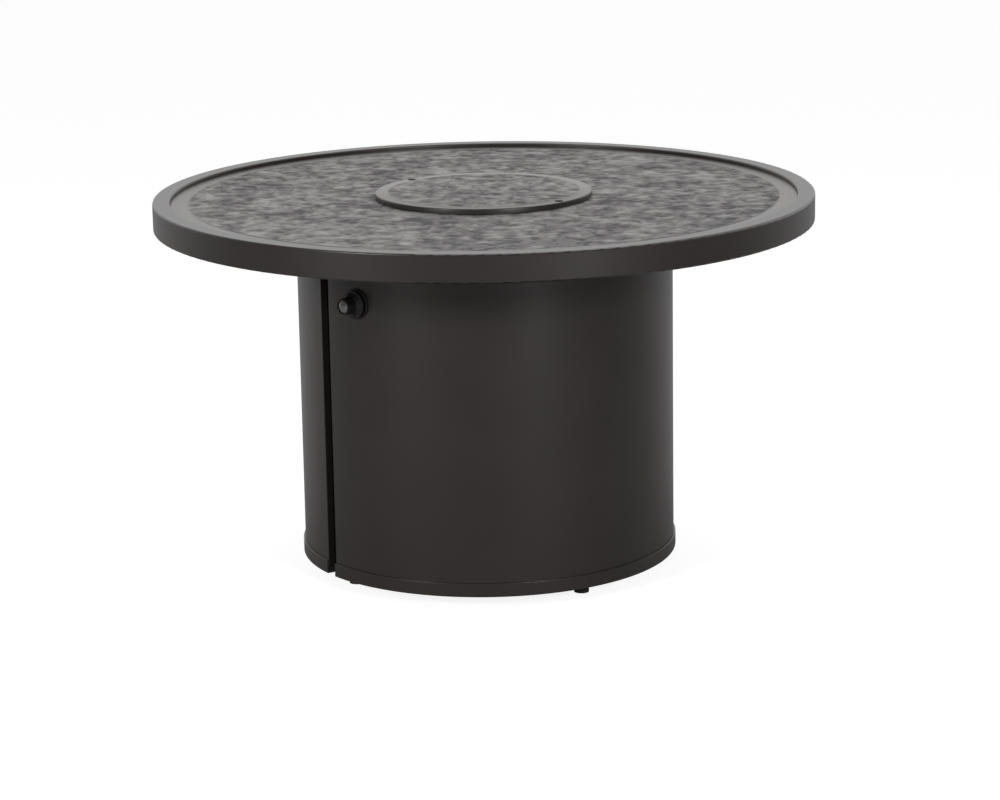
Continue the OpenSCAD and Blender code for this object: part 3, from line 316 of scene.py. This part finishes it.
# Lava: dull, rust to charcoal, with painted shade darkening its pits
lava, tree, shader, place = new_finish("porous_lava", IOR=1.5, Roughness=0.95)
tone = add(tree, "TexNoise", {"Vector": place, "Scale": per_metre(16), "Detail": 6.0})
pits = add(tree, "TexVoronoi", {"Vector": place, "Scale": per_metre(3)})
lava_tones = {"Factor": tone, "A": linear("#2b211f"), "B": linear("#6e5449")}
stone = add(tree, "Mix", lava_tones, data_type="RGBA")
# Painted shade: the darkest tone lies at the pits' centres, where the bump is lowest
pit_shade = add(tree, "MapRange", {"Value": pits, "From Min": 0.1, "From Max": 0.45})
wire(shader, {
    "Base Color": add(tree, "Mix", {"Factor": pit_shade, "A": linear("#1c1514"), "B": stone}, data_type="RGBA"),
    "Normal": add(tree, "Bump", {"Height": pits, "Strength": 0.8, "Distance": 1.2 * mm}),
})

rock_rounds = 3
rock_cuts = 5
lump_size = 14 * mm
lump_depth = 4 * mm
lump_middle = 0.4
lump_gain = 0.6


def clamp(value):
    """A value kept from 0 to 1."""
    return min(max(value, 0), 1)


bm = bmesh.new()
bm.from_mesh(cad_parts["lava_rocks"].data)
bmesh.ops.remove_doubles(bm, verts=bm.verts, dist=hair)
bmesh.ops.subdivide_edges(bm, edges=bm.edges, cuts=rock_cuts, use_grid_fill=True)
for _ in range(rock_rounds):
    bmesh.ops.smooth_vert(bm, verts=bm.verts, factor=0.5, use_axis_x=True, use_axis_y=True, use_axis_z=True)
bm.normal_update()
for vert in bm.verts:
    lump = noise.fractal(vert.co / lump_size, 0.8, 2.2, 4)
    vert.co -= vert.normal * lump_depth * clamp(lump_middle - lump_gain * lump)
add_piece(bm, "broken_lava_rocks", "table", lava, "lava_stone", "lava_rocks", crease=50)

# Top frame
# Eight square tube arms, bolted to the drum's flange, reach out under the panel to a ledge on the
# rim. The rim is a rolled section with a turned-in lip, welded shut and coated like the drum.

wear(black_paint, "support_arms")
wear(zinc_plate, "rim_screws", "frame_bolts", "frame_nuts")
wear(powder_coat, "rim_frame")

# Slate panel
# A round pressed panel lies on the rim's ledge. Its margin is plain, and the field inside it has
# the shallow flakes and clefts of split slate, stained dark and sealed.

margin_step = 0.6 * mm
step_run = 0.8 * mm
field_radius = 478 * mm
mouth_radius = 171 * mm
field_rings = 117
panel_spokes = 720
relief_depth = 1.1 * mm
relief_fade = 5 * mm
patch_size = 85 * mm
patch_gain = 0.3
flake_size = 25 * mm
flake_bend = 9 * mm
bend_seed = 7
flake_gain = 0.55
chip_size = 9 * mm
chip_gain = 0.12
cleft_chip_gain = 0.2
terraces = 3
riser_share = 0.5
panel_seed = 23.31


def slate_height(x, y, seed):
    """Height of split slate at a point, from 0 in its clefts to 1 on its highest flakes."""
    spot = Vector((x, y, seed))
    bent = spot + flake_bend * noise.noise_vector(spot / flake_size)
    patch = noise.noise(spot / patch_size)
    flake = noise.fractal(bent / flake_size, 0.9, 2.0, 3)
    swell = clamp(0.5 + flake_gain * flake + patch_gain * patch) * terraces
    tread = floor(swell)
    riser = clamp((swell - tread - (1 - riser_share)) / riser_share)
    flat = (tread + riser) / terraces
    chips = noise.fractal(bent / chip_size, 0.9, 2.1, 2)
    return clamp(flat + (chip_gain + cleft_chip_gain * (1 - flat)) * chips)


def carve_slate(bm, outer, top, seed):
    """Lowers a disc's top inside a radius to slate's clefts, and marks each height and the plain points."""
    relief = bm.verts.layers.float.new("relief")
    plain = bm.verts.layers.float.new("plain")
    for vert in bm.verts:
        reach = vert.co.xy.length
        vert[plain] = 1
        if vert.co.z > top - hair and reach < outer + hair:
            height = slate_height(vert.co.x, vert.co.y, seed)
            vert[relief] = height
            vert[plain] = 0 if reach < outer - hair else 1
            vert.co.z -= relief_depth * (1 - height) * clamp((outer - reach) / relief_fade)


def draw_section(points):
    """A line through (radius, height) points, closed unless it ends on the axis, and its last edge."""
    bm = bmesh.new()
    verts = [bm.verts.new((r, 0, z)) for r, z in points]
    if points[-1][0] > 0:
        verts.append(verts[0])
    edges = [bm.edges.new(pair) for pair in zip(verts, verts[1:])]
    return bm, edges[-1]


def turn_section(bm, spokes):
    """Turns a section about the Z axis into a closed ring or disc."""
    bmesh.ops.spin(bm, geom=bm.verts[:] + bm.edges[:], cent=(0, 0, 0), axis=(0, 0, 1), angle=2 * pi,
                   steps=spokes, use_merge=True)
    bmesh.ops.remove_doubles(bm, verts=bm.verts, dist=hair / 2)
    bmesh.ops.recalc_face_normals(bm, faces=bm.faces)


noise.seed_set(bend_seed)
panel_low, panel_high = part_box("slate_panel")
panel_top = panel_high.z
panel_radius = panel_high.x
margin_top = panel_top - margin_step
bm, field = draw_section([
    (mouth_radius, panel_top), (mouth_radius, panel_low.z), (panel_radius, panel_low.z),
    (panel_radius, margin_top), (field_radius, margin_top), (field_radius - step_run, panel_top)])
bmesh.ops.subdivide_edges(bm, edges=[field], cuts=field_rings)
turn_section(bm, panel_spokes)
carve_slate(bm, field_radius - step_run, panel_top, panel_seed)

# Sealed slate finish: charcoal in the clefts, rubbed to a warmer grey on the flakes. The mark plain
# is 0 there, 1 on the satin margin, and 2 on a turned-down edge, which gets painted shade: a tone as dark
# as the rim standing in for the shade on the cover's side
slate, tree, shader, place = new_finish("sealed_slate_relief", IOR=1.5)
height = add(tree, "Attribute", attribute_name="relief").outputs["Fac"]
plain = add(tree, "Attribute", attribute_name="plain").outputs["Fac"]
mottle = add(tree, "TexNoise", {"Vector": place, "Scale": per_metre(20), "Detail": 5.0, "Roughness": 0.6})
grain = add(tree, "TexNoise", {"Vector": place, "Scale": per_metre(3.5), "Detail": 4.0})
spread = {"Value": mottle, "From Min": 0.25, "From Max": 0.75, "To Min": -0.3, "To Max": 0.3}
level = add(tree, "Math", {0: height, 1: add(tree, "MapRange", spread)}, operation="ADD")
slate_tones = {"Factor": level, "A": linear("#232126"), "B": linear("#7a7571")}
slate_tone = add(tree, "Mix", slate_tones, data_type="RGBA")
margin_tones = {"Factor": mottle, "A": linear("#3b3734"), "B": linear("#4a4642")}
margin_tone = add(tree, "Mix", margin_tones, data_type="RGBA")
# Painted shade: where the mark is 2, on the turned-down edge, a tone as dark as the rim replaces the
# margin's tone, standing in for the shade on the cover's side
edge_shade_factor = add(tree, "MapRange", {"Value": plain, "From Min": 1.0, "From Max": 2.0})
edge_shade_tones = {"Factor": edge_shade_factor, "A": margin_tone, "B": linear("#2e2a28")}
plain_and_edge_shade_tone = add(tree, "Mix", edge_shade_tones, data_type="RGBA")
dullness = add(tree, "MapRange", {"Value": level, "To Min": 0.74, "To Max": 0.4})
wire(shader, {
    "Base Color": add(tree, "Mix", {"Factor": plain, "A": slate_tone, "B": plain_and_edge_shade_tone}, data_type="RGBA"),
    "Roughness": add(tree, "Mix", {"Factor": plain, "A": dullness, "B": 0.34}),
    "Normal": add(tree, "Bump", {"Height": grain, "Strength": 0.3, "Distance": 0.25 * mm}),
})
add_piece(bm, "split_slate_panel", "table", slate, "slate_relief", "slate_panel")

# Burner cover
# The lift-off lid over the burner is pressed from the same sheet as the panel, with a plain
# border, a turned-down edge, two finger holes and guide tabs spot welded underneath.

cover_field_radius = 157 * mm
cover_step = 0.4 * mm
cover_sheet = 2 * mm
cover_edge_round = 2.5 * mm
cover_spokes = 360
cover_rings = 58
cover_seed = 3.7
hole_radius = 7 * mm
hole_reach = 165 * mm
hole_turns = [radians(327), radians(147)]
hole_flare = 0.7 * mm
hole_sides = 48
cover_low, cover_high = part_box("cover_plate")
cover_radius = cover_high.x
cover_top = cover_high.z
border_top = cover_top - cover_step
underside = border_top - cover_sheet
bm, field = draw_section([
    (0, underside), (cover_radius - cover_sheet, underside), (cover_radius - cover_sheet, cover_low.z),
    (cover_radius, cover_low.z), (cover_radius, border_top), (cover_field_radius, border_top),
    (cover_field_radius - step_run, cover_top), (0, cover_top)])
bmesh.ops.subdivide_edges(bm, edges=[field], cuts=cover_rings)
corner = [v for v in bm.verts if v.co.x > cover_radius - hair and v.co.z > border_top - hair]
bmesh.ops.bevel(bm, geom=corner, offset=cover_edge_round, affect="VERTICES", segments=4, profile=0.5,
                material=-1)
turn_section(bm, cover_spokes)
carve_slate(bm, cover_field_radius - step_run, cover_top, cover_seed)
cover = add_piece(bm, "slate_burner_cover", "burner_cover", slate, "slate_relief", "cover_plate")

cutter_mesh = bpy.data.meshes.new("finger_hole_cutter")
both_holes = bmesh.new()
for hole_turn in hole_turns:
    bm, _ = draw_section([
        (0, cover_low.z), (hole_radius, cover_low.z), (hole_radius, border_top - hole_flare),
        (hole_radius + hole_flare, border_top), (hole_radius + hole_flare, cover_top), (0, cover_top)])
    turn_section(bm, hole_sides)
    way = Vector((cos(hole_turn), sin(hole_turn), 0)) * hole_reach
    bmesh.ops.translate(bm, verts=bm.verts, vec=way)
    bm.to_mesh(cutter_mesh)
    bm.free()
    both_holes.from_mesh(cutter_mesh)
both_holes.to_mesh(cutter_mesh)
both_holes.free()
cutter = bpy.data.objects.new("finger_hole_cutter", cutter_mesh)
bpy.context.scene.collection.objects.link(cutter)
holes = cover.modifiers.new("finger_holes", "BOOLEAN")
holes.object = cutter
holes.solver = "EXACT"
bpy.context.view_layer.update()
pierced = bpy.data.meshes.new_from_object(cover.evaluated_get(bpy.context.evaluated_depsgraph_get()))
cover.modifiers.remove(holes)
bpy.data.objects.remove(cutter)
cover.data = pierced
# Points on the turned-down edge are marked 2, which gives them painted shade; the rest of the border is
# marked 1
plain_marks = pierced.attributes["plain"].data
for vert in pierced.vertices:
    if vert.co.xy.length > cover_field_radius:
        in_edge_shade = vert.co.z < border_top - cover_edge_round / 2
        plain_marks[vert.index].value = 2 if in_edge_shade else 1
wear(drawn_steel, "cover_guides")

# Control knob
# A moulded black knob with a skirt pushes and turns on the valve's stem in front of a moulded
# bezel. A domed aluminium cap is pressed into the knob's end.

# Polished aluminium: mirrors the room in streaks, with faint polishing marks
polished_cap, tree, shader, place = new_finish("polished_aluminium", Metallic=1.0)
marks = add(tree, "TexNoise", {"Vector": place, "Scale": per_metre(1.4), "Detail": 3.0})
cap_tones = {"Factor": marks, "A": linear("#7c7b79"), "B": linear("#989794")}
wire(shader, {
    "Base Color": add(tree, "Mix", cap_tones, data_type="RGBA"),
    "Roughness": add(tree, "MapRange", {"Value": marks, "To Min": 0.1, "To Max": 0.22}),
})
wear(moulded_black, "control_knob", "knob_bezel")
wear(polished_cap, "knob_cap")

# Studio
# A white floor and surroundings, two softboxes and two low strips in front, a softbox above the
# back of the table, and a camera where the photograph was taken from.

# Camera: its distance, height and aim fit the outlines of the rim, drum, band and cover
view_turn = radians(11.15)
camera_out = 4.8912
camera_up = 1.4504
camera_yaw = radians(0.2425)
camera_pitch = radians(13.6355)
camera_roll = radians(-0.961)
image_width = 1000
focal_pixels = 3061.7
sensor = 36

scene = bpy.context.scene
scene.view_settings.view_transform = "Standard"

turn = Matrix.Rotation(view_turn, 4, "Z")
aim = (Matrix.Rotation(-camera_yaw, 4, "Z") @ Matrix.Rotation(pi / 2 - camera_pitch, 4, "X")
       @ Matrix.Rotation(camera_roll, 4, "Z"))
camera = bpy.data.objects.new("camera", bpy.data.cameras.new("camera"))
camera.data.sensor_width = sensor
camera.data.lens = focal_pixels * sensor / image_width
camera.matrix_world = turn @ Matrix.Translation((0, -camera_out, camera_up)) @ aim
scene.collection.objects.link(camera)
scene.camera = camera

# White surroundings: the camera sees plain white, and a reflection sees white behind the table
# and a dimmer room in front of it
fill = 0.2
room_front = 0.14
room_back = 1.15


def seen_by(tree):
    """A surface's kinds of ray, and a node that is 1 for a reflection or through glass."""
    rays = add(tree, "LightPath").outputs
    both = {0: rays["Is Glossy Ray"], 1: rays["Is Transmission Ray"]}
    return rays, add(tree, "Math", both, operation="MAXIMUM")


world = bpy.data.worlds.new("studio")
world.use_nodes = True
scene.world = world
tree = world.node_tree
rays, mirrored = seen_by(tree)
direction = add(tree, "TexCoord").outputs["Generated"]
away = turn @ Vector((0, 1, 0))
behind = add(tree, "VectorMath", {0: direction, 1: away}, operation="DOT_PRODUCT").outputs["Value"]
room = add(tree, "MapRange", {"Value": behind, "From Min": -0.2, "From Max": 0.9, "To Min": room_front,
                              "To Max": room_back}, interpolation_type="SMOOTHSTEP")
lit = add(tree, "Mix", {"Factor": mirrored, "A": fill, "B": room})
seen = add(tree, "Mix", {"Factor": rays["Is Camera Ray"], "A": lit, "B": 1.0})
wire(tree.nodes["Background"], {"Color": (1, 1, 1, 1), "Strength": seen})

# Floor: plain and pale. White of its own is added where the camera sees it, so the shadow on it is
# faint. A reflection sees some of that white, and more of it behind the table.
floor_half = 12
seen_white = 0.87
white_front = 0.1
white_back = 0.33
bm = bmesh.new()
bmesh.ops.create_grid(bm, x_segments=1, y_segments=1, size=floor_half)
mesh = bpy.data.meshes.new("floor")
bm.to_mesh(mesh)
bm.free()
floor_sheet = bpy.data.objects.new("floor", mesh)
scene.collection.objects.link(floor_sheet)
floor_white, tree, shader, place = new_finish("studio_floor", Base_Color=linear("#a0a0a0"), Roughness=0.9)
rays, mirrored = seen_by(tree)
behind = add(tree, "VectorMath", {0: place, 1: away}, operation="DOT_PRODUCT").outputs["Value"]
white = add(tree, "MapRange", {"Value": behind, "From Min": 0.0, "From Max": 1.2, "To Min": white_front,
                               "To Max": white_back})
mirrored = add(tree, "Math", {0: mirrored, 1: white}, operation="MULTIPLY")
own = add(tree, "Math", {0: rays["Is Camera Ray"], 1: seen_white, 2: mirrored}, operation="MULTIPLY_ADD")
glow = add(tree, "Emission", {"Color": (1, 1, 1, 1), "Strength": own})
wire(tree.nodes["Material Output"], {"Surface": add(tree, "AddShader", {0: shader, 1: glow})})
mesh.materials.append(floor_white)

# Softboxes: angle from the camera's side in degrees, distance, height, width, tall and power
softboxes = {
    "left_softbox": (-42, 5.0, 2.25, 0.5, 0.8, 88),
    "right_softbox": (28, 5.0, 2.25, 0.5, 0.8, 88),
    "low_left_strip": (-46, 5.0, 0.8, 0.25, 0.5, 9.5),
    "low_right_strip": (30, 5.0, 0.8, 0.25, 0.5, 15),
    "back_softbox": (180, 0.9, 2.2, 2.0, 0.8, 17),
}
aim_point = Vector((0, 0, 0.45))
for name, (angle, out, up, width, tall, power) in softboxes.items():
    light = bpy.data.lights.new(name, "AREA")
    light.shape = "RECTANGLE"
    light.size = width
    light.size_y = tall
    light.energy = power
    lamp = bpy.data.objects.new(name, light)
    spot = turn @ Matrix.Rotation(radians(angle), 4, "Z") @ Vector((0, -out, up))
    facing = (spot - aim_point).to_track_quat("Z", "Y").to_matrix().to_4x4()
    lamp.matrix_world = Matrix.Translation(spot) @ facing
    scene.collection.objects.link(lamp)

bpy.context.view_layer.update()
